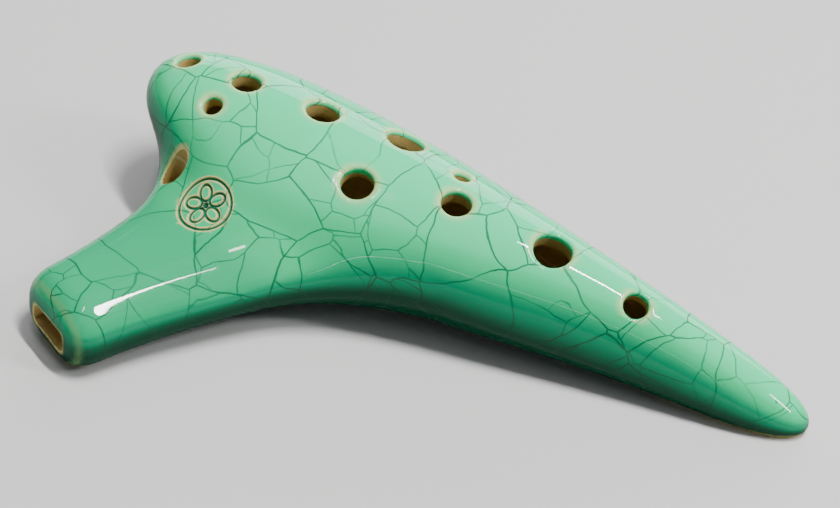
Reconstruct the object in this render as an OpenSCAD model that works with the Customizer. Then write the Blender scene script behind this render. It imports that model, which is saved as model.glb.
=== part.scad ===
// Twelve-hole transverse ocarina in glazed ceramic, lying on its belly.
// X runs from the blunt head (-X) to the tail (+X), the beak points towards -Y,
// and the resting surface is z = 0.

/* [Body] */
// Length from head to tail
body_len = 120; // [112:1:128]
// Wall thickness of the chamber
wall = 3.5; // [3:0.1:4.2]
// Thickness of the fired glaze
glaze = 0.4; // [0.35:0.05:0.5]
// Thickness of the slip that joins the clay pieces
slip = 0.6; // [0.4:0.1:1]
// Size of the cells that the smooth skin is meshed with
cell = 2.5; // [2.4:0.1:3]

/* [Beak] */
// Width of the beak at its end
beak_w = 18; // [17:0.5:19]
// Height of the beak at its end
beak_h = 12; // [11.4:0.2:12.6]
// Radius of the hollow curve between beak and body
blend = 12; // [11:0.1:13]
// Rounding of the edge around the end of the beak
edge_round = 5; // [4:0.5:6]

/* [Windway] */
// Width of the windway at the mouth
inlet_w = 8.4; // [7:0.2:9]
// Height of the windway at the mouth
inlet_h = 3; // [2.6:0.2:3.4]
// Width of the windway where it meets the window
outlet_w = 5.6; // [5:0.2:6]
// Height of the windway where it meets the window
outlet_h = 1.3; // [1.1:0.1:1.6]
// Length of the window, from the windway to the sound edge
window_len = 5; // [4.6:0.1:5.4]

/* [Finger holes] */
// Diameters of the left-hand holes: little, ring, middle and index finger
left_holes = [3.8, 4.7, 5.4, 6.1]; // [3:0.1:6.5]
// Diameters of the right-hand holes: index, middle, ring and little finger
right_holes = [5.3, 4.8, 6.2, 4]; // [3:0.1:6.5]
// Diameters of the two small holes for the lowest notes: left and right
small_holes = [3.1, 2.4]; // [2:0.1:3.5]
// Diameters of the two thumb holes: left and right
thumb_holes = [6.4, 6.8]; // [5.5:0.1:7]
// Diameter of the hole that takes a neck cord
strap_hole_d = 3.6; // [3:0.1:4]

/* [Hidden] */
$fn = 48;

// Colours of the fired clay, the slip and the glaze
clay_colour = "burlywood";
slip_colour = "tan";
glaze_colour = "mediumseagreen";

// The body is a tapered egg. Each curve holds Bezier control values, head to tail.
// The half widths and heights are scaled by sqrt(t * (1 - t)), which rounds both ends.
half_width = [42, 31.5, 36.5, 1.5, 24.5];
top_height = [36.5, 12, 25.5, 26, 19.5];
belly_height = [31.5, 33, 26.5, -1, 21];
centre_y = [18.6, 14.6, 20.6];
centre_z = [17.5, 11, 1.5];
end_gap = 0.001;

// The beak runs from a root inside the body to the middle of its end
beak_root = [-29.6, 16, 8.6];
beak_tip = [-48, -29.9, 5.2];
beak_len = norm(beak_tip - beak_root);
beak_dir = (beak_tip - beak_root) / beak_len;
beak_side = cross([0, 0, 1], beak_dir) / norm(cross([0, 0, 1], beak_dir));
beak_up = cross(beak_dir, beak_side);
// How much the beak widens towards its root, and how early, on the head side,
// on the tail side and in height
flare_head = [15, 2.5];
flare_tail = [14, 1.5];
flare_up = [0.6, 1.8];
beak_power = 2.4;
root_round = 8;
// The end face turns a little towards the head and upwards
end_turn = -5;
end_tilt = 5.6;
end_dir = beak_dir * cos(end_turn) * cos(end_tilt) + beak_side * sin(end_turn) + beak_up * sin(end_tilt);

// Box of the mesh grid
grid_low = [-62, -37, -5];
grid_high = [62, 34, 28];
grid_n = [for (a = [0:2]) ceil((grid_high[a] - grid_low[a]) / cell)];

// Plan positions of the holes, in the order of their diameters
left_at = [[-53.9, 18.9], [-42.5, 18.6], [-29, 20.1], [-15.5, 23.7]];
right_at = [[-16.7, 9.9], [-1.6, 15.1], [15.2, 16.4], [30.4, 16]];
small_at = [[-44.6, 11.4], [-4, 21.5]];
thumb_at = [[-41, 22.6], [8, 16.6]];
strap_at = [-46.3, 3.6];
// Bare clay left around each hole by the glaze
rim = 0.6;
wall_reach = 5.5;
belly_reach = 8.5;

// Windway and sound edge, measured inwards from the end of the beak
outlet_at = 39;
outlet_drop = -1.9;
edge_at = outlet_at + window_len;
edge_len = 9;
edge_fall = 6.9;
edge_block_w = outlet_w + 3.6;
joint_at = 24;

// The seam of the two chamber halves falls from head to tail
seam_z = 9.6;
seam_fall = 7.4;

// Larger than the whole instrument, for cutting spaces
far = 200;
// How far two cutting spaces that meet run into each other
lap = 0.1;

// --- Smooth skin -----------------------------------------------------------

function bezier(c, t) = len(c) == 1
    ? c[0]
    : bezier([for (i = [0:len(c) - 2]) c[i] * (1 - t) + c[i + 1] * t], t);

// Smallest and largest of two distances, rounded over a reach k
function soft_min(a, b, k) = let (h = max(k - abs(a - b), 0) / k) min(a, b) - h * h * k / 4;
function soft_max(a, b, k) = -soft_min(-a, -b, k);

// Distance from a rounded outline with half sizes a and b
function outline_gap(u, v, a, b, m) =
    let (q = pow(pow(abs(u) / a, m) + pow(abs(v) / b, m), 1 / m))
    q < 0.05 ? -min(a, b) : norm([u, v]) * (1 - 1 / q);

function along(x) = min(max(x / body_len + 0.5, end_gap), 1 - end_gap);

// Half width, top, belly and centre of the body's section at x
function section(x) = let (t = along(x), s = sqrt(t * (1 - t)))
    [s * bezier(half_width, t), s * bezier(top_height, t), s * bezier(belly_height, t),
     bezier(centre_y, t), bezier(centre_z, t)];

function body_gap(p, s) =
    let (dz = p.z - s[4],
         f = outline_gap(p.y - s[3], dz, s[0], dz > 0 ? s[1] : s[2], 2),
         past = max(abs(p.x) - body_len * (0.5 - end_gap), 0))
    past > 0 ? norm([max(f, 0), past]) : f;

function beak_gap(p) =
    let (e = p - beak_root,
         reach = e * beak_dir,
         u = min(max(1 - reach / beak_len, 0), 1),
         side = e * beak_side,
         flare = side > 0 ? flare_tail : flare_head,
         f = outline_gap(side, e * beak_up, beak_w / 2 + flare[0] * pow(u, flare[1]),
                         beak_h / 2 + flare_up[0] * pow(u, flare_up[1]), beak_power))
    soft_max(soft_max(f, -reach, root_round), (p - beak_tip) * end_dir, edge_round);

function skin_gap(p, s) = soft_min(body_gap(p, s), beak_gap(p), blend);
function skin(p) = skin_gap(p, section(p.x));

function slope(p) = let (d = 0.05)
    [skin(p + [d, 0, 0]) - skin(p - [d, 0, 0]),
     skin(p + [0, d, 0]) - skin(p - [0, d, 0]),
     skin(p + [0, 0, d]) - skin(p - [0, 0, d])] / (2 * d);
function unit(v) = v / norm(v);

// One step towards the surface that lies `depth` under the skin
function settle(p, depth) = let (g = slope(p)) p - g * (skin(p) + depth) / (g * g);

// Height at which the skin is crossed between an inside and an outside height
function crossing_z(at, inside, outside, n = 14) =
    let (mid = (inside + outside) / 2)
    n == 0 ? mid
    : skin([at.x, at.y, mid]) < 0 ? crossing_z(at, mid, outside, n - 1)
    : crossing_z(at, inside, mid, n - 1);

grid_gap = [for (i = [0:grid_n.x])
    let (x = grid_low.x + i * cell, s = section(x))
    [for (j = [0:grid_n.y]) [for (k = [0:grid_n.z])
        skin_gap([x, grid_low.y + j * cell, grid_low.z + k * cell], s)]]];

cell_ids = [for (i = [0:grid_n.x - 1], j = [0:grid_n.y - 1], k = [0:grid_n.z - 1]) [i, j, k]];
corners = [for (a = [0, 1], b = [0, 1], c = [0, 1]) [a, b, c]];
edges = [for (a = [0:7], b = [a + 1:7]) if (norm(corners[a] - corners[b]) == 1) [a, b]];

function gap_at(c) = grid_gap[c.x][c.y][c.z];
function crossing(c, e, depth) =
    let (a = gap_at(c + corners[e[0]]) + depth, b = gap_at(c + corners[e[1]]) + depth)
    a * b < 0 ? [corners[e[0]] + (corners[e[1]] - corners[e[0]]) * a / (a - b)] : [];
function total(v, i = 0) = i >= len(v) ? [0, 0, 0] : v[i] + total(v, i + 1);
function mixed(c, depth) =
    let (g = [for (k = corners) gap_at(c + k) + depth]) min(g) < 0 && max(g) >= 0;
function cell_point(c, depth) =
    let (cuts = [for (e = edges) each crossing(c, e, depth)])
    settle(settle(grid_low + (c + total(cuts) / len(cuts)) * cell, depth), depth);

function flat_id(c) = (c.x * grid_n.y + c.y) * grid_n.z + c.z;
axes = [[1, 0, 0], [0, 1, 0], [0, 0, 1]];

// Closed mesh of the surface `depth` under the skin: one point in each cell that
// the surface crosses, and two triangles across each grid line that it crosses
module skin_solid(depth) {
    used = [for (c = cell_ids) mixed(c, depth) ? 1 : 0];
    number = [for (i = 0, n = 0; i < len(used); n = n + used[i], i = i + 1) n];
    points = [for (c = cell_ids) if (used[flat_id(c)] == 1) cell_point(c, depth)];
    faces = [for (c = cell_ids, a = [0:2])
        let (b = axes[(a + 1) % 3], d = axes[(a + 2) % 3], inside = gap_at(c) + depth < 0)
        if (c * b > 0 && c * d > 0 && inside != (gap_at(c + axes[a]) + depth < 0))
            let (q = [for (o = [[0, 0, 0], b, b + d, d]) number[flat_id(c - o)]],
                 r = inside ? [q[3], q[2], q[1], q[0]] : q)
            each [[r[0], r[1], r[2]], [r[0], r[2], r[3]]]];
    polyhedron(points, faces, convexity = 6);
}

// --- Spaces inside ---------------------------------------------------------

// The sounding chamber follows the body one wall thickness in
chamber_rings = 26;
chamber_sides = 32;
chamber_from = 0.035;
chamber_to = 0.935;
least_half = 0.3;

function ring_point(t, a) =
    let (s = section(body_len * (t - 0.5)),
         w = max(s[0] - wall, least_half),
         h = max((sin(a) > 0 ? s[1] : s[2]) - wall, least_half))
    [body_len * (t - 0.5), s[3] + w * cos(a), s[4] + h * sin(a)];

module chamber_space() {
    points = [for (i = [0:chamber_rings], j = [0:chamber_sides - 1])
        ring_point(chamber_from + (chamber_to - chamber_from) * (1 - cos(180 * i / chamber_rings)) / 2,
                   360 * j / chamber_sides)];
    sides = [for (i = [0:chamber_rings - 1], j = [0:chamber_sides - 1])
        let (a = i * chamber_sides, k = (j + 1) % chamber_sides)
        each [[a + j, a + chamber_sides + k, a + k], [a + j, a + chamber_sides + j, a + chamber_sides + k]]];
    head = [for (j = [0:chamber_sides - 1]) j];
    tail = [for (j = [0:chamber_sides - 1]) (chamber_rings + 1) * chamber_sides - 1 - j];
    polyhedron(points, [head, each sides, tail], convexity = 4);
}

// Children drawn in the beak's own frame: x across it, y inwards from its end, z up
module in_beak() {
    multmatrix([[beak_side.x, -beak_dir.x, beak_up.x, beak_tip.x],
                [beak_side.y, -beak_dir.y, beak_up.y, beak_tip.y],
                [beak_side.z, -beak_dir.z, beak_up.z, beak_tip.z],
                [0, 0, 0, 1]])
        children();
}

function duct_end(y, w, h, z) = [[-w / 2, y, z - h / 2], [w / 2, y, z - h / 2],
                                 [w / 2, y, z + h / 2], [-w / 2, y, z + h / 2]];
duct_faces = [[3, 2, 1, 0], [4, 5, 6, 7], [1, 5, 4, 0], [2, 6, 5, 1], [3, 7, 6, 2], [0, 4, 7, 3]];

// Flat tapered duct from the mouth of the beak to the window
module windway() {
    lead = 3;
    in_beak() polyhedron([each duct_end(-lead, inlet_w, inlet_h, 0),
                          each duct_end(outlet_at + lead / 2, outlet_w, outlet_h, outlet_drop)], duct_faces);
}

// Opening in the belly between windway and sound edge, up into the chamber
module window_space(extra = 0) {
    top = 5;
    bottom = -12;
    in_beak() translate([-outlet_w / 2 - extra, outlet_at - extra, bottom])
        cube([outlet_w + 2 * extra, window_len + extra + lap, top - bottom]);
}

// Space of the clay wedge that carries the sound edge
module edge_space() {
    top = 3;
    bottom = -12;
    in_beak() translate([-edge_block_w / 2, edge_at, bottom])
        cube([edge_block_w, edge_len, top - bottom]);
}

// Ramp that thins the wedge to its edge, level with the middle of the windway
module ramp_space(extra = 0) {
    depth = 12;
    profile = [[-lap, 0], [-lap, -depth], [edge_len, -depth], [edge_len, -edge_fall], [0, 0]];
    in_beak() translate([-outlet_w / 2 - extra, edge_at, outlet_drop])
        rotate([90, 0, 90]) linear_extrude(outlet_w + 2 * extra) polygon(profile);
}

// --- Holes -----------------------------------------------------------------

// A straight bore square to the skin, entered from above or from below
module bore(at, d, outside, reach) {
    p = [at.x, at.y, crossing_z(at, section(at.x)[4], outside)];
    n = unit(slope(p));
    translate(p) rotate([0, acos(n.z), atan2(n.y, n.x)]) translate([0, 0, -reach])
        cylinder(h = 2 * reach, d = d);
}

module top_bores(extra = 0) {
    sky = 40;
    for (i = [0:3]) bore(left_at[i], left_holes[i] + extra, sky, wall_reach);
    for (i = [0:3]) bore(right_at[i], right_holes[i] + extra, sky, wall_reach);
    for (i = [0:1]) bore(small_at[i], small_holes[i] + extra, sky, wall_reach);
}

module thumb_bores(extra = 0) {
    ground = -12;
    for (i = [0:1]) bore(thumb_at[i], thumb_holes[i] + extra, ground, belly_reach);
}

module strap_bore(extra = 0) {
    translate([strap_at.x, strap_at.y, -1]) cylinder(h = 30, d = strap_hole_d + extra);
}

// --- Cutting spaces --------------------------------------------------------

module above_floor() { translate([-far / 2, -far / 2, 0]) cube([far, far, far]); }

// A layer of the given thickness whose underside is `lift` above the chamber seam
module seam_layer(lift, thickness) {
    translate([0, 0, seam_z]) rotate([0, seam_fall, 0])
        translate([-far / 2, -far / 2, lift]) cube([far, far, thickness]);
}

// A layer across the beak that starts `from` inwards of its end
module beak_layer(from, thickness) {
    in_beak() translate([-far / 2, from, -far / 2]) cube([far, thickness, far]);
}

// Everything over the middle of the windway
module over_windway() {
    in_beak() rotate([atan(outlet_drop / outlet_at), 0, 0])
        translate([-far / 2, -far / 2, 0]) cube([far, far, far]);
}

// --- Sub-parts -------------------------------------------------------------

// A resize to no new size keeps what it holds as one plain mesh
module as_mesh() { resize([0, 0, 0]) children(); }

module clay_solid() {
    intersection() {
        skin_solid(glaze);
        above_floor();
    }
}

// Clay around the chamber, inwards of the beak joint
module chamber_clay() {
    difference() {
        clay_solid();
        chamber_space();
        beak_layer(joint_at - far, far);
    }
}

module upper_shell() {
    color(clay_colour) difference() {
        as_mesh() intersection() {
            chamber_clay();
            seam_layer(slip / 2, far);
        }
        top_bores();
        strap_bore();
    }
}

module lower_shell() {
    color(clay_colour) difference() {
        as_mesh() difference() {
            chamber_clay();
            seam_layer(-slip / 2, far);
            windway();
            window_space();
            edge_space();
        }
        thumb_bores();
        strap_bore();
    }
}

module chamber_seam() {
    color(slip_colour) difference() {
        as_mesh() intersection() {
            chamber_clay();
            seam_layer(-slip / 2, slip);
        }
        strap_bore();
    }
}

module beak_clay(from, thickness) {
    difference() {
        intersection() {
            clay_solid();
            beak_layer(from, thickness);
        }
        windway();
    }
}

module beak_top() {
    color(clay_colour) as_mesh() intersection() {
        beak_clay(-far / 2, far / 2 + joint_at - slip);
        over_windway();
    }
}

module beak_base() {
    color(clay_colour) as_mesh() difference() {
        beak_clay(-far / 2, far / 2 + joint_at - slip);
        over_windway();
    }
}

module beak_seam() {
    color(slip_colour) as_mesh() beak_clay(joint_at - slip, slip);
}

module sound_edge() {
    color(clay_colour) as_mesh() difference() {
        intersection() {
            clay_solid();
            edge_space();
        }
        chamber_space();
        ramp_space();
    }
}

module glaze_coat() {
    $fn = 24;
    color(glaze_colour) as_mesh() difference() {
        intersection() {
            skin_solid(0);
            above_floor();
        }
        skin_solid(glaze);
        top_bores(2 * rim);
        thumb_bores(2 * rim);
        strap_bore(2 * rim);
        windway();
        window_space(rim);
        ramp_space(rim);
    }
}

upper_shell();
lower_shell();
chamber_seam();
beak_top();
beak_base();
beak_seam();
sound_edge();
glaze_coat();
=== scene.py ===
"""Looks of a glazed twelve-hole ocarina, built around its CAD frame. All lengths are in metres."""

import math
from collections import namedtuple

import bmesh
import bpy
import numpy as np
from bpy.props import FloatProperty, FloatVectorProperty, PointerProperty
from mathutils import Matrix, Vector


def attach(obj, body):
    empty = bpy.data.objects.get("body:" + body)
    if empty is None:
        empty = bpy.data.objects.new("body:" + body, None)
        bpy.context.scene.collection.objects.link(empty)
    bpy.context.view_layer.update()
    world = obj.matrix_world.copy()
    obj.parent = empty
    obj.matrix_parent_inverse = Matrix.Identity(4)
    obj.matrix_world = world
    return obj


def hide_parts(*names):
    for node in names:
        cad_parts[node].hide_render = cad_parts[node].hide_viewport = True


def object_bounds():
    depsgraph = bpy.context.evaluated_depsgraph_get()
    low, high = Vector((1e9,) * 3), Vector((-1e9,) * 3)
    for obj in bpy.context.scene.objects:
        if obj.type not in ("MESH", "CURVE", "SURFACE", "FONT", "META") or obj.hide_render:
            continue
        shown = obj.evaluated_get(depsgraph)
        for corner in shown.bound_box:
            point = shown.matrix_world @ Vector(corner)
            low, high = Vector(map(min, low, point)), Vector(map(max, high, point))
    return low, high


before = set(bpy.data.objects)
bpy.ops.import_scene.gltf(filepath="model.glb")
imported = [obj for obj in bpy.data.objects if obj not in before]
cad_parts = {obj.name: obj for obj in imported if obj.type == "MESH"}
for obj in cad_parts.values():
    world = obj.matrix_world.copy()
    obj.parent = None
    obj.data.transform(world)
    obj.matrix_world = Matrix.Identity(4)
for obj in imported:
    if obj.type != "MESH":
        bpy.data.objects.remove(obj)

bl_info = {
    "name": "Glazed Ocarina",
    "version": (1, 0, 0),
    "blender": (4, 5, 0),
    "location": "View3D > Sidebar > Ocarina",
    "description": "Builds the clay, the slip and the crackled glaze of a ceramic ocarina",
    "category": "Object",
}

CAD_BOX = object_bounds()
BODY = "root"
MM = 0.001


def mm(*values):
    """An array of lengths given in millimetres."""
    return np.array(values, float) * MM


# --- Form of the skin ---------------------------------------------------------------------

# The body is a tapered egg. Each curve holds Bezier control values, head to tail.
# The half widths and heights are scaled by sqrt(t * (1 - t)), which rounds both ends.
BODY_LEN = 120 * MM
HALF_WIDTH = mm(42, 31.5, 36.5, 1.5, 24.5)
TOP_HEIGHT = mm(36.5, 12, 25.5, 26, 19.5)
BELLY_HEIGHT = mm(31.5, 33, 26.5, -1, 21)
CENTRE_Y = mm(18.6, 14.6, 20.6)
CENTRE_Z = mm(17.5, 11, 1.5)
END_GAP = 0.001

# The beak runs from a root inside the body to the middle of its end
BEAK_ROOT = mm(-29.6, 16, 8.6)
BEAK_TIP = mm(-48, -29.9, 5.2)
BEAK_LEN = np.linalg.norm(BEAK_TIP - BEAK_ROOT)
BEAK_DIR = (BEAK_TIP - BEAK_ROOT) / BEAK_LEN
BEAK_SIDE = np.cross((0, 0, 1), BEAK_DIR) / np.linalg.norm(np.cross((0, 0, 1), BEAK_DIR))
BEAK_UP = np.cross(BEAK_DIR, BEAK_SIDE)
BEAK_HALF_W = 9 * MM
BEAK_HALF_H = 6 * MM
# How much the beak widens towards its root, and how early
FLARE_HEAD = (15 * MM, 2.5)
FLARE_TAIL = (14 * MM, 1.5)
FLARE_UP = (0.6 * MM, 1.8)
BEAK_POWER = 2.4
ROOT_ROUND = 8 * MM
BLEND = 12 * MM
EDGE_ROUND = 5 * MM
END_TURN = math.radians(-5)
END_TILT = math.radians(5.6)
END_DIR = (BEAK_DIR * math.cos(END_TURN) * math.cos(END_TILT) + BEAK_SIDE * math.sin(END_TURN)
           + BEAK_UP * math.sin(END_TILT))

# Windway, window and sound edge, measured inwards from the end of the beak
INLET = mm(8.4, 3)
OUTLET = mm(5.6, 1.3)
OUTLET_AT = 39 * MM
OUTLET_DROP = -1.9 * MM
DUCT_LEAD = 3 * MM
MOUTH_TAPER = 0.2
MOUTH_ROUND = 1.4 * MM
WINDOW_LEN = 5 * MM
EDGE_AT = OUTLET_AT + WINDOW_LEN
EDGE_LEN = 9 * MM
EDGE_FALL = 6.9 * MM
EDGE_BLOCK_W = OUTLET[0] + 3.6 * MM
JOINT_AT = 24 * MM

# The seam of the two chamber halves falls from head to tail
SEAM_Z = 9.6 * MM
SEAM_FALL = math.radians(7.4)

# How often a height is halved to find the skin
HALVINGS = 40

# The chamber ends short of the body's ends
CHAMBER_ENDS = BODY_LEN * (0.035 - 0.5), BODY_LEN * (0.935 - 0.5)
CHAMBER_ROUND = 2 * MM
LEAST_HALF = 0.3 * MM

# Plan positions and diameters of the holes, in millimetres
TOP_HOLES = {
    (-53.9, 18.9): 3.8, (-42.5, 18.6): 4.7, (-29, 20.1): 5.4, (-15.5, 23.7): 6.1,
    (-16.7, 9.9): 5.3, (-1.6, 15.1): 4.8, (15.2, 16.4): 6.2, (30.4, 16): 4,
    (-44.6, 11.4): 3.1, (-4, 21.5): 2.4,
}
THUMB_HOLES = {(-41, 22.6): 6.4, (8, 16.6): 6.8}
WALL_REACH = 5.5 * MM
BELLY_REACH = 8.5 * MM
CORD_HOLE_AT = mm(-46.3, 3.6, 0)
CORD_HOLE_R = 1.8 * MM

# Small overlap of cutting blocks, so that no skin is left between them
LAP = 0.1 * MM

FAR = 200 * MM


def bezier(values, t):
    last = len(values) - 1
    return sum(math.comb(last, i) * v * t**i * (1 - t) ** (last - i) for i, v in enumerate(values))


def soft_min(a, b, k):
    """The smaller of two distances, rounded over a reach k."""
    h = np.maximum(k - np.abs(a - b), 0) / k
    return np.minimum(a, b) - h * h * k / 4


def soft_max(a, b, k):
    return -soft_min(-a, -b, k)


def rise(low, high, x):
    """0 below low, 1 above high, and a smooth slope between them."""
    t = np.clip((x - low) / (high - low), 0, 1)
    return t * t * (3 - 2 * t)


def outline_gap(u, v, a, b, power):
    """Distance from a rounded outline with half sizes a and b."""
    q = np.maximum((np.abs(u / a) ** power + np.abs(v / b) ** power) ** (1 / power), 1e-9)
    return np.where(q < 0.05, -np.minimum(a, b), np.hypot(u, v) * (1 - 1 / q))


def section(x):
    """Half width, top, belly and centre of the body's section at x."""
    t = np.clip(x / BODY_LEN + 0.5, END_GAP, 1 - END_GAP)
    s = np.sqrt(t * (1 - t))
    return (s * bezier(HALF_WIDTH, t), s * bezier(TOP_HEIGHT, t), s * bezier(BELLY_HEIGHT, t),
            bezier(CENTRE_Y, t), bezier(CENTRE_Z, t))


def body_gap(p):
    width, top, belly, y, z = section(p[..., 0])
    dz = p[..., 2] - z
    gap = outline_gap(p[..., 1] - y, dz, width, np.where(dz > 0, top, belly), 2)
    past = np.maximum(np.abs(p[..., 0]) - BODY_LEN * (0.5 - END_GAP), 0)
    return np.where(past > 0, np.hypot(np.maximum(gap, 0), past), gap)


def beak_sides_gap(p):
    e = p - BEAK_ROOT
    reach, side = e @ BEAK_DIR, e @ BEAK_SIDE
    u = np.clip(1 - reach / BEAK_LEN, 0, 1)
    flare = np.where(side > 0, FLARE_TAIL[0] * u ** FLARE_TAIL[1], FLARE_HEAD[0] * u ** FLARE_HEAD[1])
    gap = outline_gap(side, e @ BEAK_UP, BEAK_HALF_W + flare,
                      BEAK_HALF_H + FLARE_UP[0] * u ** FLARE_UP[1], BEAK_POWER)
    return soft_max(gap, -reach, ROOT_ROUND)


def beak_end_gap(p):
    return (p - BEAK_TIP) @ END_DIR


def skin(p):
    """Distance from the outside of the glaze, without its holes."""
    beak = soft_max(beak_sides_gap(p), beak_end_gap(p), EDGE_ROUND)
    return soft_min(body_gap(p), beak, BLEND)


def chamber_gap(p):
    """Distance from the sounding chamber, one wall thickness inside the body."""
    wall = settings().wall
    width, top, belly, y, z = section(p[..., 0])
    dz = p[..., 2] - z
    half_w = np.maximum(width - wall, LEAST_HALF)
    half_h = np.maximum(np.where(dz > 0, top, belly) - wall, LEAST_HALF)
    ends = np.maximum(CHAMBER_ENDS[0] - p[..., 0], p[..., 0] - CHAMBER_ENDS[1])
    return soft_max(outline_gap(p[..., 1] - y, dz, half_w, half_h, 2), ends, CHAMBER_ROUND)


def slope(field, p, step=0.02 * MM):
    """Gradient of a field at each point."""
    return np.stack([field(p + e) - field(p - e) for e in np.eye(3) * step], -1) / (2 * step)


def settle(field, p, passes=3):
    """Points moved onto the surface where the field is zero."""
    for _ in range(passes):
        g = slope(field, p)
        p = p - g * (field(p) / np.maximum((g * g).sum(-1), 1e-6))[..., None]
    return p


def on_skin(at, outside):
    """The point of the skin above or below a plan position, and the skin's outward direction there.
    It halves the height between the middle of the body and somewhere outside, again and again."""
    inside = float(section(at[0])[4])
    for _ in range(HALVINGS):
        middle = (inside + outside) / 2
        if skin(np.array((at[0], at[1], middle))) < 0:
            inside = middle
        else:
            outside = middle
    point = np.array((at[0], at[1], inside))
    normal = slope(skin, point)
    return point, normal / np.linalg.norm(normal)


# --- Holes --------------------------------------------------------------------------------

Bore = namedtuple("Bore", "point axis radius reach")
SKY = 40 * MM
GROUND = -12 * MM


def drilled(holes, outside, reach):
    bores = []
    for at, diameter in holes.items():
        point, axis = on_skin(mm(*at), outside)
        bores.append(Bore(point, axis, diameter * MM / 2, reach))
    return bores


TONE_BORES = drilled(TOP_HOLES, SKY, WALL_REACH) + drilled(THUMB_HOLES, GROUND, BELLY_REACH)
CORD_BORE = Bore(CORD_HOLE_AT, np.array((0, 0, 1.0)), CORD_HOLE_R, FAR)


def bore_place(p, bore):
    """Distance from a bore's axis, and height above the skin along it."""
    e = p - bore.point
    height = e @ bore.axis
    return np.sqrt(np.maximum((e * e).sum(-1) - height**2, 0)), height


def bore_gap(p, bore, reach):
    across, height = bore_place(p, bore)
    return np.maximum(across - bore.radius, -reach - height)


def lip_gap(p, bore):
    """Distance from the sharp edge that a tone hole would have, were it not rounded."""
    across, height = bore_place(p, bore)
    return np.hypot(across - bore.radius, height)


def in_beak(p):
    """Places in the beak's own frame: across it, inwards from its end, and up."""
    e = p - BEAK_TIP
    return e @ BEAK_SIDE, -(e @ BEAK_DIR), e @ BEAK_UP


def duct_share(inwards):
    """How far along the windway's block a place is, from 0 at its outer end to 1 at its inner end."""
    return (inwards + DUCT_LEAD) / (OUTLET_AT + 1.5 * DUCT_LEAD)


def mouth_gap(p, deep):
    """Distance from the mouth of the windway, which opens out a little towards the player."""
    across, inwards, up = in_beak(p)
    share = duct_share(inwards)
    wider = settings().mouth_flare - MOUTH_TAPER * inwards
    half_w, half_h = ((a + (b - a) * share) / 2 + wider for a, b in zip(INLET, OUTLET))
    side = soft_max(np.abs(across) - half_w, np.abs(up - OUTLET_DROP * share) - half_h, MOUTH_ROUND)
    return np.maximum(side, inwards - deep)


def window_gap(p):
    """Distance, in the belly's plane, from the window and the ramp of the sound edge."""
    across, inwards, up = in_beak(p)
    ends = np.maximum(OUTLET_AT - inwards, inwards - EDGE_AT - EDGE_LEN)
    return np.maximum(np.maximum(np.abs(across) - OUTLET[0] / 2, ends), up)


def round_flower(p):
    """Places in the plane of the pressed flower, and height over it."""
    e = p - FLOWER_POINT
    return e @ FLOWER_RIGHT, e @ FLOWER_FAR, e @ FLOWER_AXIS


# The pressed flower on the shoulder of the beak: a ring, petals and a dot
FLOWER_AT = mm(-37.4, -1.5)
FLOWER_TOP = (0.45, 0.89, 0)
FLOWER_POINT, FLOWER_AXIS = on_skin(FLOWER_AT, SKY)
FLOWER_RIGHT = np.cross(FLOWER_TOP, FLOWER_AXIS)
FLOWER_RIGHT /= np.linalg.norm(FLOWER_RIGHT)
FLOWER_FAR = np.cross(FLOWER_AXIS, FLOWER_RIGHT)
PETALS = 5
PETAL_AT = 2.1 * MM
PETAL_HALF = mm(1.35, 1.0)
RING_R = 4.4 * MM
DOT_R = 0.55 * MM
STROKE = 0.34 * MM
FLOWER_R = 6 * MM


def stroke_gap(p):
    """Distance from the nearest line of the pressed flower."""
    u, v, height = round_flower(p)
    radius, turn = np.hypot(u, v), np.arctan2(v, u)
    gap = np.abs(radius - RING_R)
    petal = 2 * math.pi / PETALS
    folded = (turn + petal / 2) % petal - petal / 2
    along, across = radius * np.cos(folded) - PETAL_AT, radius * np.sin(folded)
    gap = np.minimum(gap, np.abs(outline_gap(along, across, *PETAL_HALF, 2)))
    gap = np.minimum(gap, np.maximum(radius - DOT_R / 2, 0))
    return np.where(np.abs(height) < FLOWER_R, gap, FAR)


def pressed(p):
    """How deep the flower's lines are pressed in, from 0 to 1."""
    return np.maximum(1 - (stroke_gap(p) / STROKE) ** 2, 0) ** 2


def coat_at(p):
    """Thickness of the glaze: it thins out towards every edge where it stops."""
    shape = settings()
    gap = np.minimum(window_gap(p), mouth_gap(p, FAR))
    for bore in TONE_BORES + [CORD_BORE]:
        gap = np.minimum(gap, bore_gap(p, bore, bore.reach))
    gap = np.minimum(gap, p[..., 2])
    return shape.coat_edge + (shape.coat - shape.coat_edge) * rise(0, shape.coat_fade, gap)


def glazed(p):
    """The outside of the glaze, with its rounded holes and the pressed flower."""
    shape = settings()
    gap = skin(p) + shape.press_depth * pressed(p)
    for bore in TONE_BORES:
        gap = soft_max(gap, -bore_gap(p, bore, shape.pocket), shape.lip)
    gap = soft_max(gap, -bore_gap(p, CORD_BORE, FAR), shape.lip)
    gap = soft_max(gap, -mouth_gap(p, shape.pocket), shape.lip / 2)
    return soft_max(gap, -p[..., 2], shape.floor_edge)


def clay(p):
    """The fired clay under the glaze, as one piece with its chamber and holes."""
    shape = settings()
    gap = skin(p) + coat_at(p) + shape.press_depth * pressed(p)
    gap = np.maximum(soft_max(gap, -p[..., 2], shape.floor_edge), -chamber_gap(p))
    for bore in TONE_BORES + [CORD_BORE]:
        wider = bore._replace(radius=bore.radius + shape.bore_step)
        gap = soft_max(gap, -bore_gap(p, wider, bore.reach), shape.lip)
    return soft_max(gap, -mouth_gap(p, shape.pocket), shape.lip / 2)


# --- Meshes -------------------------------------------------------------------------------

def grid_over(low, high, cell):
    counts = np.ceil((high - low) / cell).astype(int)
    lines = [low[a] + cell * np.arange(counts[a] + 1) for a in range(3)]
    return counts, np.stack(np.meshgrid(*lines, indexing="ij"), -1)


def part_of(array, axis, start, stop):
    index = [slice(None)] * array.ndim
    index[axis] = slice(start, stop)
    return array[tuple(index)]


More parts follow.
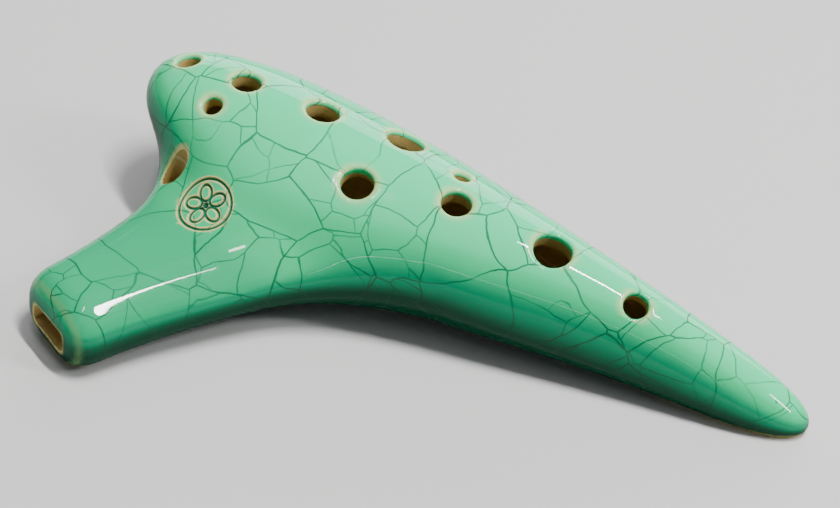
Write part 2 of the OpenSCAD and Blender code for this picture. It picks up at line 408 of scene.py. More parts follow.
def surface_net(field, low, high, cell):
    """Points and four-sided faces of the surface where the field is zero: one point in each cell
    that the surface crosses, and one face across each grid line that it crosses."""
    counts, grid = grid_over(low, high, cell)
    value = field(grid)
    total, hits = np.zeros((*counts, 3)), np.zeros(counts, int)
    crossings = []
    for a in range(3):
        v0, v1 = part_of(value, a, 0, -1), part_of(value, a, 1, None)
        crossed = (v0 < 0) != (v1 < 0)
        share = np.where(crossed, v0 / np.where(crossed, v0 - v1, 1), 0)
        place = part_of(grid, a, 0, -1) + share[..., None] * cell * np.eye(3)[a]
        crossings.append((crossed, v0 < 0))
        b, c = (a + 1) % 3, (a + 2) % 3
        for low_b in (0, 1):
            for low_c in (0, 1):
                end_b, end_c = low_b + counts[b], low_c + counts[c]
                near = part_of(part_of(crossed, b, low_b, end_b), c, low_c, end_c)
                point = part_of(part_of(place, b, low_b, end_b), c, low_c, end_c)
                hits += near
                total += np.where(near[..., None], point, 0)
    used = hits > 0
    number = np.cumsum(used.ravel()).reshape(used.shape) - 1
    points = total[used] / hits[used][:, None]
    faces = []
    for a, (crossed, inside) in enumerate(crossings):
        b, c = (a + 1) % 3, (a + 2) % 3
        step_b, step_c = np.eye(3, dtype=int)[[b, c]]
        around = step_b * 0, step_b, step_b + step_c, step_c
        at = np.argwhere(crossed)
        at = at[(at[:, b] > 0) & (at[:, c] > 0) & (at[:, b] < counts[b]) & (at[:, c] < counts[c])]
        quad = np.stack([number[tuple((at - step).T)] for step in around], 1)
        inward = inside[tuple(at.T)]
        faces.append(np.where(inward[:, None], quad, quad[:, ::-1]))
    return points, np.concatenate(faces)


def relaxed(points, faces, field, passes=3):
    """Points evened out along the surface, so that its faces are of like size."""
    ends = np.concatenate([faces[:, (i, (i + 1) % 4)] for i in range(4)])
    for _ in range(passes):
        total, count = np.zeros_like(points), np.zeros(len(points))
        for i in range(3):
            total[:, i] = np.bincount(ends[:, 0], points[ends[:, 1], i], len(points))
        count = np.maximum(np.bincount(ends[:, 0], minlength=len(points)), 1)
        points = settle(field, points + 0.5 * (total / count[:, None] - points), 1)
    return settle(field, points)


def field_bmesh(field, cell):
    """A bmesh of the whole surface where the field is zero."""
    margin = 2 * cell
    low, high = (np.array(corner) for corner in CAD_BOX)
    points, faces = surface_net(field, low - margin, high + margin, cell)
    points = relaxed(points, faces, field)
    bm = bmesh.new()
    corners = [bm.verts.new(p) for p in points]
    for face in faces:
        bm.faces.new([corners[i] for i in face])
    return bm


def places(bm):
    return np.array([v.co for v in bm.verts])


def refine(bm, field, near, levels):
    """Halves the edges near some feature, level after level, and settles the new points."""
    for _ in range(levels):
        bm.verts.ensure_lookup_table()
        bm.verts.index_update()
        close = near(places(bm))
        edges = [e for e in bm.edges if close[e.verts[0].index] and close[e.verts[1].index]]
        bmesh.ops.subdivide_edges(bm, edges=edges, cuts=1, use_grid_fill=True)
        many = [f for f in bm.faces if len(f.verts) > 4]
        bmesh.ops.triangulate(bm, faces=many)
        moved = settle(field, places(bm), 2)
        for v, co in zip(bm.verts, moved):
            v.co = co


# An edge is never cut nearer to its end than this share of it
LEAST_SHARE = 0.02


def clip(bm, keep):
    """Cuts the surface along the line where keep() is zero, and removes the side below it."""
    bm.verts.index_update()
    value = keep(places(bm))
    for e in [e for e in bm.edges if (value[e.verts[0].index] < 0) != (value[e.verts[1].index] < 0)]:
        a, b = e.verts
        share = value[a.index] / (value[a.index] - value[b.index])
        bmesh.utils.edge_split(e, a, min(max(share, LEAST_SHARE), 1 - LEAST_SHARE))[1].index = -1
    value = {v: (value[v.index] if v.index >= 0 else 0) for v in bm.verts}
    for face in list(bm.faces):
        cut = [v for v in face.verts if v.index < 0]
        sides = {value[v] < 0 for v in face.verts if v.index >= 0}
        if len(cut) == 2 and len(sides) == 2:
            bmesh.utils.face_split(face, *cut)
    gone = [f for f in bm.faces if any(value[v] < 0 for v in f.verts)]
    bmesh.ops.delete(bm, geom=gone, context="FACES")


def thickened(name, bm, outer, thickness):
    """An object made from an open sheet: the sheet, a second layer inside it, and a band along each
    edge. Its points are the sheet's, then the inner ones in the same order."""
    bm.verts.index_update()
    points = places(bm)
    normals = slope(outer, points)
    normals /= np.linalg.norm(normals, axis=-1, keepdims=True)
    count = len(points)
    sheet = [[v.index for v in face.verts] for face in bm.faces]
    inner = [[i + count for i in reversed(face)] for face in sheet]
    rims = [e.link_loops[0] for e in bm.edges if e.is_boundary]
    ends = [(loop.vert.index, loop.link_loop_next.vert.index) for loop in rims]
    bands = [(b, a, a + count, b + count) for a, b in ends]
    bm.free()
    layers = np.concatenate([points, points - normals * thickness[:, None]])
    mesh = bpy.data.meshes.new(name)
    mesh.from_pydata(layers, [], sheet + inner + bands)
    mesh.shade_smooth()
    mesh.normals_split_custom_set_from_vertices(np.concatenate([normals, -normals]).tolist())
    return linked(name, mesh)


def linked(name, mesh):
    piece = bpy.data.objects.new(name, mesh)
    bpy.context.scene.collection.objects.link(piece)
    return piece


def new_object(name, bm):
    mesh = bpy.data.meshes.new(name)
    bm.normal_update()
    bm.to_mesh(mesh)
    bm.free()
    return linked(name, mesh)


def point_values(piece, name, values):
    attribute = piece.data.attributes.new(name, "FLOAT", "POINT")
    attribute.data.foreach_set("value", np.asarray(values, np.float32))


def add_piece(piece, node, material):
    piece.data.materials.clear()
    piece.data.materials.append(material)
    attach(piece, BODY)
    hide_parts(node)


# --- Cutting blocks -----------------------------------------------------------------------

# How far the blocks reach below the beak's middle line, and above it at the window and the edge
BLOCK_DEPTH = 12 * MM
WINDOW_TOP = 5 * MM
EDGE_TOP = 3 * MM
SHARP_ANGLE = math.radians(35)


def hull_of(points):
    """A closed block around some corner points, as an object that is only used for cutting."""
    bm = bmesh.new()
    for p in points:
        bm.verts.new(p)
    bmesh.ops.convex_hull(bm, input=bm.verts)
    bmesh.ops.delete(bm, geom=[v for v in bm.verts if not v.link_faces], context="VERTS")
    return new_object("cutter", bm)


def beak_point(across, inwards, up):
    return BEAK_TIP + across * BEAK_SIDE - inwards * BEAK_DIR + up * BEAK_UP


def beak_block(half_width, inwards, up):
    return hull_of([beak_point(a, i, u) for a in (-half_width, half_width) for i in inwards for u in up])


def slab(near, far):
    """Everything between two distances from the end of the beak."""
    return beak_block(FAR, (near, far), (-FAR, FAR))


def seam_block(low, high):
    """Everything between two heights over the chamber seam."""
    rise_dir = np.array((math.sin(SEAM_FALL), 0, math.cos(SEAM_FALL)))
    along = np.array((math.cos(SEAM_FALL), 0, -math.sin(SEAM_FALL)))
    base = np.array((0, 0, SEAM_Z))
    return hull_of([base + x * along + y * np.array((0, 1, 0)) + z * rise_dir
                    for x in (-FAR, FAR) for y in (-FAR, FAR) for z in (low, high)])


def duct_block():
    """The windway, from before the mouth to just past the window's near edge."""
    corners = []
    ends = (-DUCT_LEAD, INLET / 2, 0), (OUTLET_AT + DUCT_LEAD / 2, OUTLET / 2, OUTLET_DROP)
    for inwards, (half_w, half_h), middle in ends:
        corners += [beak_point(a, inwards, middle + u) for a in (-half_w, half_w) for u in (-half_h, half_h)]
    return hull_of(corners)


def over_duct_block():
    """Everything over the middle of the windway."""
    drop, ends = OUTLET_DROP / OUTLET_AT, (-FAR, FAR)
    return hull_of([beak_point(a, i, i * drop + u) for a in ends for i in ends for u in (0, FAR)])


def window_block():
    return beak_block(OUTLET[0] / 2, (OUTLET_AT, EDGE_AT + LAP), (-BLOCK_DEPTH, WINDOW_TOP))


def edge_block():
    return beak_block(EDGE_BLOCK_W / 2, (EDGE_AT, EDGE_AT + EDGE_LEN), (-BLOCK_DEPTH, EDGE_TOP))


def ramp_block():
    """The space under the sound edge. Its slope starts level with the middle of the windway."""
    half_w, bottom = OUTLET[0] / 2, -BLOCK_DEPTH
    profile = [(-LAP, LAP * EDGE_FALL / EDGE_LEN), (-LAP, bottom), (EDGE_LEN, bottom)]
    profile.append((EDGE_LEN, -EDGE_FALL))
    sides = (-half_w, half_w)
    return hull_of([beak_point(a, EDGE_AT + i, OUTLET_DROP + u) for a in sides for i, u in profile])


def carved(source, name, kept, removed=()):
    """A copy of a solid, cut to what lies in the kept blocks and not in the removed ones."""
    piece = source.copy()
    piece.name = name
    bpy.context.scene.collection.objects.link(piece)
    steps = [("INTERSECT", block) for block in kept] + [("DIFFERENCE", block) for block in removed]
    for operation, block in steps:
        cut = piece.modifiers.new("cut", "BOOLEAN")
        cut.solver = "MANIFOLD"
        cut.operation = operation
        cut.object = block
    view = bpy.context.evaluated_depsgraph_get()
    piece.data = bpy.data.meshes.new_from_object(piece.evaluated_get(view))
    piece.data.name = name
    piece.modifiers.clear()
    for _, block in steps:
        bpy.data.objects.remove(block)
    piece.hide_render = False
    piece.data.shade_smooth()
    piece.data.set_sharp_from_angle(angle=SHARP_ANGLE)
    return piece


# --- Shader maths -------------------------------------------------------------------------

class Wire:
    """A socket of a node. Arithmetic on it adds Math nodes, or Vector Math nodes on a vector."""

    def __init__(self, sheet, socket):
        self.sheet, self.socket = sheet, socket

    def apply(self, operation, *values):
        kind = "ShaderNodeVectorMath" if self.socket.type in ("VECTOR", "RGBA") else "ShaderNodeMath"
        return self.sheet.node(kind, {"operation": operation}, dict(enumerate(values)))

    def __add__(self, other):
        return self.apply("ADD", self, other)

    def __radd__(self, other):
        return self.apply("ADD", other, self)

    def __sub__(self, other):
        return self.apply("SUBTRACT", self, other)

    def __rsub__(self, other):
        return self.apply("SUBTRACT", other, self)

    def __mul__(self, other):
        return self.apply("MULTIPLY", self, other)

    def __rmul__(self, other):
        return self.apply("MULTIPLY", other, self)

    def __truediv__(self, other):
        return self.apply("DIVIDE", self, other)

    def __rtruediv__(self, other):
        return self.apply("DIVIDE", other, self)

    def __pow__(self, other):
        return self.apply("POWER", self, other)

    def __rpow__(self, other):
        return self.apply("POWER", other, self)

    def between(self, low, high):
        """0 at low, 1 at high, and a smooth slope between them. Low may be the larger."""
        return self.sheet.node("ShaderNodeMapRange", {"interpolation_type": "SMOOTHSTEP"},
                               {"Value": self, "From Min": low, "From Max": high})

    def scaled(self, factor):
        return self.sheet.node("ShaderNodeVectorMath", {"operation": "SCALE"}, {0: self, "Scale": factor})


class Sheet:
    """The node tree of one material."""

    def __init__(self, name):
        self.material = bpy.data.materials.new(name)
        self.material.use_nodes = True
        self.tree = self.material.node_tree
        self.shader = self.tree.nodes["Principled BSDF"]

    def node(self, kind, options=None, values=None, out=0):
        """Adds a node of a kind, sets its options, then its sockets, and gives one of its outputs."""
        made = self.tree.nodes.new(kind)
        for key, value in (options or {}).items():
            setattr(made, key, value)
        for key, value in (values or {}).items():
            self.put(made.inputs[key], value)
        return Wire(self, made.outputs[out])

    def put(self, socket, value):
        if isinstance(value, Wire):
            self.tree.links.new(value.socket, socket)
        elif socket.type == "VECTOR" and np.ndim(value) == 0:
            socket.default_value = (value,) * 3
        elif socket.type == "RGBA" and len(value) == 3:
            socket.default_value = (*value, 1)
        else:
            socket.default_value = value

    def finish(self, **values):
        """Sets the shader's own sockets, named with _ for a space."""
        for key, value in values.items():
            self.put(self.shader.inputs[key.replace("_", " ").title().replace("Ior", "IOR")], value)
        return self.material

    def place(self):
        """The place on the surface, in the piece's own frame."""
        return self.node("ShaderNodeTexCoord", out=3)

    def facing(self):
        """The surface's outward direction, in the piece's own frame."""
        return self.node("ShaderNodeTexCoord", out=1)

    def unit(self, vector):
        return self.node("ShaderNodeVectorMath", {"operation": "NORMALIZE"}, {0: vector})

    def dot(self, a, b):
        return self.node("ShaderNodeVectorMath", {"operation": "DOT_PRODUCT"}, {0: a, 1: b}, out=1)

    def attribute(self, name):
        return self.node("ShaderNodeAttribute", {"attribute_name": name}, out=2)

    def noise(self, vector, scale, detail=2, roughness=0.5, out=0):
        return self.node("ShaderNodeTexNoise", None, {
            "Vector": vector, "Scale": scale, "Detail": detail, "Roughness": roughness}, out)

    def voronoi(self, vector, scale, feature, out=0):
        return self.node("ShaderNodeTexVoronoi", {"feature": feature},
                         {"Vector": vector, "Scale": scale}, out)

    def mix(self, factor, a, b, mode="MIX"):
        """Colour a turning into colour b, or another blend of the two."""
        return self.node("ShaderNodeMix", {"data_type": "RGBA", "blend_type": mode, "clamp_factor": True},
                         {0: factor, 6: a, 7: b}, out=2)

    def bump(self, height, distance, strength, normal=None):
        values = {"Height": height, "Distance": distance, "Strength": strength}
        if normal is not None:
            values["Normal"] = normal
        return self.node("ShaderNodeBump", None, values)


# Keeps a division from going to nothing
NOT_ZERO = 0.0001
# Scale of the noise, in waves per metre, and how far it moves a crack: slow bends and fine ones
BEND = 45, 9 * MM
RIPPLE = 260, 0.9 * MM
# Size of the cells of the later cracks, as a share of the first
LATER_CRACKS = 0.72


def crack_gap(sheet, place, facing, size):
    """Distance along the surface from the nearest wall between the cells of a Voronoi pattern.
    A wall that meets the surface at a low angle gives a line as thin as any other."""
    near = sheet.voronoi(place, 1 / size, "F1", out=2)
    other = sheet.voronoi(place, 1 / size, "F2", out=2)
    across = sheet.unit(other - near)
    gap = sheet.dot((near + other).scaled(0.5) - place, across)
    lean = sheet.dot(across, facing)
    return gap / (1 + NOT_ZERO - lean * lean) ** 0.5


def crack_net(sheet, place):
    """Hairlines of the crackle, from 0 to 1: long first cracks, and later ones that end at them."""
    look = looks()
    facing = sheet.facing()
    bent = place
    for scale, amount in (BEND, RIPPLE):
        bent = bent + (sheet.noise(place, scale, out=1) - 0.5).scaled(amount)
    first = crack_gap(sheet, bent, facing, look.crackle_size)
    cell = sheet.voronoi(bent, 1 / look.crackle_size, "F1", out=1)
    second = crack_gap(sheet, bent + cell, facing, look.crackle_size * LATER_CRACKS)
    width, soft = look.crackle_width * 0.5, look.crackle_width * 1.2
    strength = sheet.noise(place, 90, 3).between(0.25, 0.62)
    long_lines = first.between(soft, width) * (strength * 0.4 + 0.6)
    split_cells = sheet.node("ShaderNodeSeparateColor", None, {0: cell}, out=1).between(0.4, 0.45)
    later_lines = second.between(soft * 0.9, width * 0.8) * split_cells * (strength * 0.6 + 0.3)
    return sheet.node("ShaderNodeMath", {"operation": "MAXIMUM"}, {0: long_lines, 1: later_lines})


# Relief of the finishes: soft waves and sunk cracks in the glaze, grain of the clay and the slip
WAVE_HEIGHT = 0.35 * MM
CRACK_DEPTH = 0.03 * MM
CLAY_GRAIN = 0.06 * MM
SLIP_GRAIN = 0.04 * MM


def glaze_material():
    """Celadon glaze: thick and green on the flats, cream where it thins over an edge, painted paler on the
    level top and darker with painted shade down the steep sides, at the belly and out along the beak.
    """
    look = looks()
    sheet = Sheet("crackled_celadon")
    place = sheet.place()
    thin, pool, edge, deep = (sheet.attribute(name) for name in ("thin", "pool", "edge", "deep"))
    cloud = sheet.noise(place, 38, 3, 0.55)
    mottle = sheet.noise(place, 420, 4, 0.6)
    colour = sheet.mix(cloud.between(0.3, 0.72) * 0.5, tuple(look.glaze_green), tuple(look.glaze_pale))
    colour = sheet.mix(mottle.between(0.35, 0.75) * 0.16, colour, tuple(look.glaze_pale))
    # Painted light and shade: paler glaze where the surface is level, darker down the steep sides and out
    # along the beak, darkest at the turn of the belly
    colour = sheet.mix(deep.between(0.12, 0), colour, tuple(look.glaze_lit_top))
    colour = sheet.mix(deep.between(0.04, 0.5), colour, tuple(look.glaze_shaded_side))
    colour = sheet.mix(deep.between(0.55, 1), colour, tuple(look.glaze_shadow_low))
    colour = sheet.mix(edge * 0.4, colour, tuple(look.glaze_olive))
    colour = sheet.mix(thin, colour, tuple(look.glaze_cream))
    colour = sheet.mix(pool, colour, tuple(look.glaze_pool))
    cracks = crack_net(sheet, place)
    colour = sheet.mix(cracks * (1 - 0.35 * thin) * 0.8, colour, tuple(look.crackle_colour))
    specks = sheet.voronoi(place, 310, "F1").between(0.1, 0.05)
    specks = specks * sheet.noise(place, 120, 1).between(0.62, 0.7)
    colour = sheet.mix(specks * 0.6, colour, tuple(look.speck_colour))
    waves = sheet.bump(sheet.noise(place, 75, 2), WAVE_HEIGHT, 0.35)
    normal = sheet.bump(1 - cracks, CRACK_DEPTH, 0.6, waves)
    return sheet.finish(
        base_color=colour, roughness=0.3 + 0.1 * mottle, normal=normal, ior=1.5, specular_ior_level=0.0,
        coat_weight=1 - 0.7 * deep, coat_roughness=0.03, coat_ior=1.37)


def clay_material(name, colour, grain):
    """Fine fired clay, with sandy grain and darker iron specks."""
    look = looks()
    sheet = Sheet(name)
    place = sheet.place()
    tone = sheet.noise(place, 160, 4, 0.6)
    base = sheet.mix(tone.between(0.3, 0.75), tuple(c * 0.78 for c in colour), tuple(colour))
    sand = sheet.noise(place, 2600, 3, 0.7)
    base = sheet.mix(sand.between(0.45, 0.75) * 0.35, base, tuple(min(c * 1.3, 1) for c in colour))
    specks = sheet.voronoi(place, 900, "F1").between(0.16, 0.08)
    specks = specks * sheet.noise(place, 500, 1).between(0.5, 0.6)
    base = sheet.mix(specks * 0.7, base, tuple(look.iron_colour))
    height = sand * 0.6 + sheet.noise(place, 900, 4) * 0.4
    normal = sheet.bump(height, grain, 0.8)
    return sheet.finish(base_color=base, roughness=0.78 + 0.2 * sand, normal=normal, specular_ior_level=0.25)


# --- Settings -----------------------------------------------------------------------------

def length(name, default, description):
    return FloatProperty(name=name, default=default, description=description, min=0,
                         unit="LENGTH", precision=5)


def colour(name, default, description):
    return FloatVectorProperty(name=name, default=default, description=description, min=0, max=1,
                               subtype="COLOR", size=3)


class OcarinaShape(bpy.types.PropertyGroup):
    """Sizes that shape the visible meshes."""

    wall: length("Wall", 3.5 * MM, "Thickness of the chamber wall")
    coat: length("Glaze", 0.4 * MM, "Thickness of the glaze away from its edges")
    coat_edge: length("Glaze at edges", 0.07 * MM, "Thickness of the glaze where it stops")
    coat_fade: length("Glaze fade", 1.5 * MM, "Distance over which the glaze thins out")
    lip: length("Lip", 0.95 * MM, "Reach of the rounding around each hole")
    slip: length("Slip", 0.6 * MM, "Thickness of the slip in the seams")
    pocket: length("Pocket", 3.2 * MM, "Depth to which the skin is followed into each hole")
    mouth_flare: length("Mouth flare", 0.3 * MM, "How much wider the windway is at its mouth")
    bore_step: length("Bore step", 0.03 * MM, "Step from the glaze down to the bare clay in a hole")
    floor_edge: length("Foot edge", 0.2 * MM, "Rounding around the resting flats")
    press_depth: length("Press depth", 0.32 * MM, "Depth of the pressed flower")
    glaze_run: length("Glaze run", 0.75 * MM, "How far the glaze runs down into each hole")
    skin_cell: length("Skin mesh", 0.7 * MM, "Size of the faces of the glaze")
    clay_cell: length("Clay mesh", 0.7 * MM, "Size of the faces of the clay")


class OcarinaLooks(bpy.types.PropertyGroup):
    """Colours of the glaze and the clay, and the scale of the crackle."""

    glaze_green: colour("Glaze", (0.008, 0.60, 0.22), "Glaze of usual thickness")
    glaze_pale: colour("Pale glaze", (0.02, 0.70, 0.28), "Cloudy patches and fine mottling")
    # Painted light: paler glaze on level places, where the light from above falls
    glaze_lit_top: colour("Top glaze", (0.03, 0.74, 0.31), "Glaze on level places, painted paler for the light from above")
    # Painted shade: darker glaze on the steep sides
    glaze_shaded_side: colour("Side glaze", (0.0, 0.27, 0.12), "Glaze on the steep sides, painted darker for shade")
    # Painted shade: darkest glaze at the turn of the belly
    glaze_shadow_low: colour("Low glaze", (0.0, 0.045, 0.02), "Glaze at the turn of the belly, painted darkest for shade")
    glaze_olive: colour("Thin glaze", (0.22, 0.42, 0.15), "Glaze on the edges of the beak")
    glaze_cream: colour("Glaze rim", (0.86, 0.72, 0.27), "Glaze where it is thinnest, around each hole")
    glaze_pool: colour("Glaze pool", (0.01, 0.17, 0.09), "Glaze pooled in pressed lines")
    crackle_colour: colour("Crackle", (0.01, 0.06, 0.03), "Stain in the crackle lines")
    speck_colour: colour("Specks", (0.03, 0.07, 0.03), "Small dark specks in the glaze")
    clay_colour: colour("Clay", (0.50, 0.36, 0.12), "Fired clay")
    slip_colour: colour("Slip", (0.62, 0.50, 0.26), "Slip in the seams")
    iron_colour: colour("Iron specks", (0.12, 0.06, 0.02), "Dark specks in the clay")
    crackle_size: length("Crackle size", 11.5 * MM, "Width of the cells between the first cracks")
    crackle_width: length("Crackle width", 0.155 * MM, "Width of a crackle line")


class OcarinaStage(bpy.types.PropertyGroup):
    """Floor, lights and camera."""

    floor_colour: colour("Floor", (0.64, 0.64, 0.63), "Colour of the floor")
    world_colour: colour("Surroundings", (0.90, 0.94, 1.0), "Colour of the light all round")
    world_strength: FloatProperty(name="Surrounding light", default=0.1, min=0,
                                  description="Strength of the light all round")
    lens: FloatProperty(name="Lens", default=133.76, min=10,
                        description="Focal length in mm, on a 36 mm wide sensor")


def settings():
    return bpy.context.scene.ocarina_shape


def looks():
    return bpy.context.scene.ocarina_looks


# --- Operators ----------------------------------------------------------------------------

def clay_body():
    """The whole of the clay as one closed solid, made once and then cut into its pieces."""
    found = bpy.data.objects.get("clay_body")
    if found:
        return found
    bm = field_bmesh(clay, settings().clay_cell)
    body = new_object("clay_body", bm)
    body.hide_render = True
    return body


def sandy_clay():
    made = bpy.data.materials.get("sandy_clay")
    return made or clay_material("sandy_clay", looks().clay_colour, CLAY_GRAIN)


def pale_slip():
    made = bpy.data.materials.get("pale_slip")
    return made or clay_material("pale_slip", looks().slip_colour, SLIP_GRAIN)


class OCARINA_OT_chamber(bpy.types.Operator):
    """Cut the upper and lower shells of the chamber, and the slip seam between them"""

    bl_idname = "ocarina.chamber"
    bl_label = "Chamber"

    def execute(self, context):
        body, slip = clay_body(), settings().slip / 2
        upper = carved(body, "upper_shell_clay", [slab(JOINT_AT, FAR), seam_block(slip, FAR)])
        lower = carved(body, "lower_shell_clay", [slab(JOINT_AT, FAR), seam_block(-FAR, -slip)],
                       [duct_block(), window_block(), edge_block()])
        seam = carved(body, "chamber_seam_slip", [slab(JOINT_AT, FAR), seam_block(-slip, slip)])
        add_piece(upper, "upper_shell", sandy_clay())
        add_piece(lower, "lower_shell", sandy_clay())
        add_piece(seam, "chamber_seam", pale_slip())
        return {"FINISHED"}


class OCARINA_OT_beak(bpy.types.Operator):
    """Cut the two halves of the beak, the slip that joins them to the chamber, and the sound edge"""

    bl_idname = "ocarina.beak"
    bl_label = "Beak and sound edge"

    def execute(self, context):
        body, joint = clay_body(), JOINT_AT - settings().slip
        top = carved(body, "beak_top_clay", [slab(-FAR, joint), over_duct_block()], [duct_block()])
        base = carved(body, "beak_base_clay", [slab(-FAR, joint)], [over_duct_block(), duct_block()])
        seam = carved(body, "beak_seam_slip", [slab(joint, JOINT_AT)], [duct_block()])
        edge = carved(body, "sound_edge_clay", [edge_block()], [ramp_block()])
        add_piece(top, "beak_top", sandy_clay())
        add_piece(base, "beak_base", sandy_clay())
        add_piece(seam, "beak_seam", pale_slip())
        add_piece(edge, "sound_edge", sandy_clay())
        bpy.data.objects.remove(body)
        return {"FINISHED"}


# Widths of the finely meshed zones around the tone holes, the cord hole and the mouth
LIP_ZONE = 1.6 * MM
CORD_ZONE = 1.5 * MM
MOUTH_ZONE = 1.2 * MM
# The mouth of the windway is looked for only this near to the end of the beak
MOUTH_DEPTH = 6 * MM
# Bare clay left round the mouth and the cord hole, round the window, and as a share of the foot's edge
BARE_STEP = 0.12 * MM
BARE_WINDOW = 0.4 * MM
BARE_FOOT = 0.3
# How much further the glaze runs into the far side of each tone hole
GLAZE_RUNS = [0.1, 0.2, 0.1, 0.2, 1.1, 0.3, 0.6, 0.5, 0.1, 0.1, 0.3, 0.3]

# Where thin glaze turns into full glaze: distances from each kind of edge, and how thin it gets there
RIM_THINS = mm(0.28, 0.55)
HALO_THINS = mm(0.3, 1.7)
EDGE_THINS = mm(0.1, 0.55)
FOOT_THINS = mm(0.1, 1)
RIDGE_THINS = mm(0.3, 1.3)
HALO, EDGE, FOOT, LINE = 0.4, 0.9, 0.8, 0.85
HALO_DEPTH = 0.5 * MM
WINDOW_EDGE = 0.3 * MM
# Pooled glaze in the pressed lines and thin glaze beside them
POOL_ENDS = np.array((0.35, 0.95)) * STROKE
LINE_THINS = np.array((1, 1.8)) * STROKE
# Slopes from almost level to hanging, over which the painted shade grows, and how far out along the beak the
# painted shade grows, and how strong it gets there
SLOPES = 0.05, 1.25
BEAK_REACH = 12 * MM
BEAK_SHADE = 0.3


def near_lips(p):
    """Where the skin needs a fine mesh: around each hole."""
    close = np.abs(mouth_gap(p, FAR)) < MOUTH_ZONE
    close &= near_mouth(p)
    for bore in TONE_BORES:
        close |= lip_gap(p, bore) < LIP_ZONE
    across, _ = bore_place(p, CORD_BORE)
    return close | (across - CORD_BORE.radius < CORD_ZONE)


def near_mouth(p):
    return in_beak(p)[1] < MOUTH_DEPTH


def near_flower(p):
    u, v, height = round_flower(p)
    return (np.hypot(u, v) < RING_R + 3 * STROKE) & (np.abs(height) < FLOWER_R)


def near_strokes(p):
    return near_flower(p) & (stroke_gap(p) < 2 * STROKE)


def glaze_keep(p):
    """Above 0 where the skin is glazed, and below 0 where the clay is bare."""
    shape = settings()
    keep = p[..., 2] - BARE_FOOT * shape.floor_edge
    keep = np.minimum(keep, window_gap(p) - BARE_WINDOW)
    keep = np.minimum(keep, np.where(near_mouth(p), mouth_gap(p, FAR) - BARE_STEP, FAR))
    across, _ = bore_place(p, CORD_BORE)
    keep = np.minimum(keep, across - CORD_BORE.radius - BARE_STEP)
    height = skin(p)
    for bore, further in zip(TONE_BORES, GLAZE_RUNS):
        across, _ = bore_place(p, bore)
        far_side = (1 + (p - bore.point)[..., 1] / bore.radius) / 2
        run = shape.glaze_run * (1 + further * far_side)
        inside = (across < bore.radius + shape.lip) & (height > -bore.reach)
        keep = np.where(inside, np.minimum(keep, height + run), keep)
    return keep


def fade(ends, gap):
    """1 nearer than the first distance, 0 beyond the second, and a smooth slope between them."""
    return 1 - rise(*ends, gap)


def glaze_values(p):
    """At each point, from 0 to 1: how thin the glaze is, how far it pools in pressed lines, how near it is
    to the edge round the beak's end, and how much painted shade darkens it on steep and hanging sides and
    out along the beak."""
    lines = np.where(near_flower(p), stroke_gap(p), FAR)
    kinds = [FOOT * fade(FOOT_THINS, p[:, 2]), LINE * fade(LINE_THINS, lines)]
    for bore in TONE_BORES:
        gap = lip_gap(p, bore)
        kinds.append(fade(RIM_THINS, gap))
        kinds.append(HALO * fade(HALO_THINS, gap) * (bore_place(p, bore)[1] > -HALO_DEPTH))
    cord = bore_place(p, CORD_BORE)[0] - CORD_BORE.radius
    mouth = np.where(near_mouth(p), mouth_gap(p, FAR), FAR)
    kinds += [EDGE * fade(EDGE_THINS, gap) for gap in (cord, mouth, window_gap(p) - WINDOW_EDGE)]
    facing = slope(skin, p)
    steep = rise(*SLOPES, 1 - facing[:, 2] / np.linalg.norm(facing, axis=1))
    return {
        "thin": np.max(kinds, axis=0),
        "pool": fade(POOL_ENDS, lines),
        "edge": fade(RIDGE_THINS, np.abs(beak_sides_gap(p) - beak_end_gap(p))),
        # Painted shade: darker glaze on steep and hanging sides, and out along the beak
        "deep": np.maximum(steep, BEAK_SHADE * rise(0, BEAK_REACH, body_gap(p))),
    }


class OCARINA_OT_glaze(bpy.types.Operator):
    """Make the glaze: a closed thin coat that wraps the lips of the holes and stops at bare clay"""

    bl_idname = "ocarina.glaze"
    bl_label = "Glaze"

    def execute(self, context):
        bm = field_bmesh(glazed, settings().skin_cell)
        refine(bm, glazed, near_lips, 1)
        refine(bm, glazed, near_flower, 2)
        refine(bm, glazed, near_strokes, 1)
        clip(bm, glaze_keep)
        for v, co in zip(bm.verts, settle(glazed, places(bm), 1)):
            v.co = co
        outer = places(bm)
        coat = thickened("crackle_glaze", bm, glazed, coat_at(outer))
        for name, values in glaze_values(outer).items():
            point_values(coat, name, np.concatenate([values, values]))
        add_piece(coat, "glaze_coat", glaze_material())
        return {"FINISHED"}


# Each light: its direction from the ocarina, distance, sides, power in watts, and the direction
# that its first side follows
LIGHTS = {
    "overhead_sheet": ((0.3, 0.32, 1), 1.25, (1.55, 2.6), 8, (1, 0, 0)),
    "back_softbox": ((-0.25, 0.93, 0.30), 1.6, (1.8, 0.75), 20, (1, 0, 0)),
    "beak_strip": ((0.18, 0.145, 0.965), 0.8, (0.30, 0.035), 8, (-0.9, 0.42, 0)),
    "shoulder_strip": ((-0.17, 0.02, 0.98), 0.8, (0.18, 0.02), 0.8, (0.1, -1, 0)),
    "tail_softbox": ((0.74, 0.22, 0.62), 0.8, (0.07, 0.2), 2.5, (0, 1, 0)),
    "front_strip": ((0.2, -0.89, 0.41), 1.0, (0.5, 0.012), 0.2, (1, 0, 0)),
}

# The camera's place, how far it is turned round the ocarina and raised, and its roll
CAMERA_TURN = math.radians(25.116)
CAMERA_RISE = math.radians(41.364)
CAMERA_ROLL = math.radians(6.213)
CAMERA_PLACE = mm(152.19, -324.41, 338.1)
FLOOR_HALF = 3


def soft_box(name, direction, distance, size, power, along):
    """An area light that faces the middle of the ocarina."""
    data = bpy.data.lights.new(name, "AREA")
    data.shape = "RECTANGLE"
    data.size, data.size_y = size
    data.energy = power
    lamp = bpy.data.objects.new(name, data)
    bpy.context.scene.collection.objects.link(lamp)
    way = Vector(direction).normalized()
    side = way.cross(Vector(along)).normalized()
    axes = Matrix((side.cross(way), side, way)).transposed()
    middle = (Vector(CAD_BOX[0]) + Vector(CAD_BOX[1])) / 2
    lamp.matrix_world = Matrix.Translation(middle + way * distance) @ axes.to_4x4()


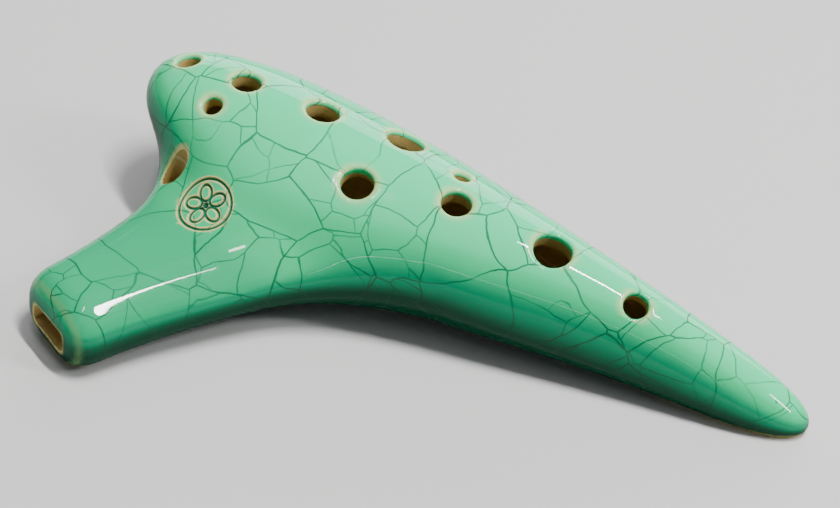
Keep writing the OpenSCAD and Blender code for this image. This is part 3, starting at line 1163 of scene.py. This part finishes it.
class OCARINA_OT_stage(bpy.types.Operator):
    """Set up the floor, the soft studio light and the camera"""

    bl_idname = "ocarina.stage"
    bl_label = "Stage"

    def execute(self, context):
        stage = context.scene.ocarina_stage
        bm = bmesh.new()
        bmesh.ops.create_grid(bm, x_segments=1, y_segments=1, size=FLOOR_HALF)
        floor = new_object("floor", bm)
        sheet = Sheet("pale_floor")
        tone = sheet.noise(sheet.place(), 6, 2).between(0.2, 0.8)
        pale = tuple(stage.floor_colour)
        shade = sheet.mix(tone, pale, tuple(c * 0.985 for c in pale))
        floor.data.materials.append(sheet.finish(base_color=shade, roughness=0.9, specular_ior_level=0.1))
        world = bpy.data.worlds.new("studio")
        world.use_nodes = True
        sky = world.node_tree.nodes["Background"]
        sky.inputs["Color"].default_value = (*stage.world_colour, 1)
        sky.inputs["Strength"].default_value = stage.world_strength
        context.scene.world = world
        for name, light in LIGHTS.items():
            soft_box(name, *light)
        self.add_camera(context, stage.lens)
        return {"FINISHED"}

    def add_camera(self, context, lens):
        turn, tilt = CAMERA_TURN, CAMERA_RISE
        back = Vector((math.sin(turn) * math.cos(tilt), -math.cos(turn) * math.cos(tilt), math.sin(tilt)))
        right = Vector((math.cos(turn), math.sin(turn), 0))
        up = back.cross(right)
        axes = Matrix((right, up, back)).transposed() @ Matrix.Rotation(CAMERA_ROLL, 3, "Z")
        data = bpy.data.cameras.new("camera")
        data.lens, data.sensor_width = lens, 36
        data.clip_start, data.clip_end = 0.01, 20
        camera = bpy.data.objects.new("camera", data)
        camera.matrix_world = Matrix.Translation(CAMERA_PLACE) @ axes.to_4x4()
        context.scene.collection.objects.link(camera)
        context.scene.camera = camera


STEPS = (OCARINA_OT_stage, OCARINA_OT_chamber, OCARINA_OT_beak, OCARINA_OT_glaze)


class OCARINA_PT_build(bpy.types.Panel):
    """Buttons that build the ocarina, and its settings"""

    bl_idname = "OCARINA_PT_build"
    bl_label = "Glazed Ocarina"
    bl_space_type = "VIEW_3D"
    bl_region_type = "UI"
    bl_category = "Ocarina"

    def draw(self, context):
        for step in STEPS:
            self.layout.operator(step.bl_idname)
        scene = context.scene
        for group in (scene.ocarina_shape, scene.ocarina_looks, scene.ocarina_stage):
            box = self.layout.box()
            for name in group.__annotations__:
                box.prop(group, name)


CLASSES = (OcarinaShape, OcarinaLooks, OcarinaStage, *STEPS, OCARINA_PT_build)


def register():
    for made in CLASSES:
        bpy.utils.register_class(made)
    bpy.types.Scene.ocarina_shape = PointerProperty(type=OcarinaShape)
    bpy.types.Scene.ocarina_looks = PointerProperty(type=OcarinaLooks)
    bpy.types.Scene.ocarina_stage = PointerProperty(type=OcarinaStage)


def unregister():
    for name in ("ocarina_shape", "ocarina_looks", "ocarina_stage"):
        delattr(bpy.types.Scene, name)
    for made in reversed(CLASSES):
        bpy.utils.unregister_class(made)


def main():
    register()
    make = bpy.ops.ocarina
    for step in (make.stage, make.chamber, make.beak, make.glaze):
        step()


if __name__ == "__main__":
    main()
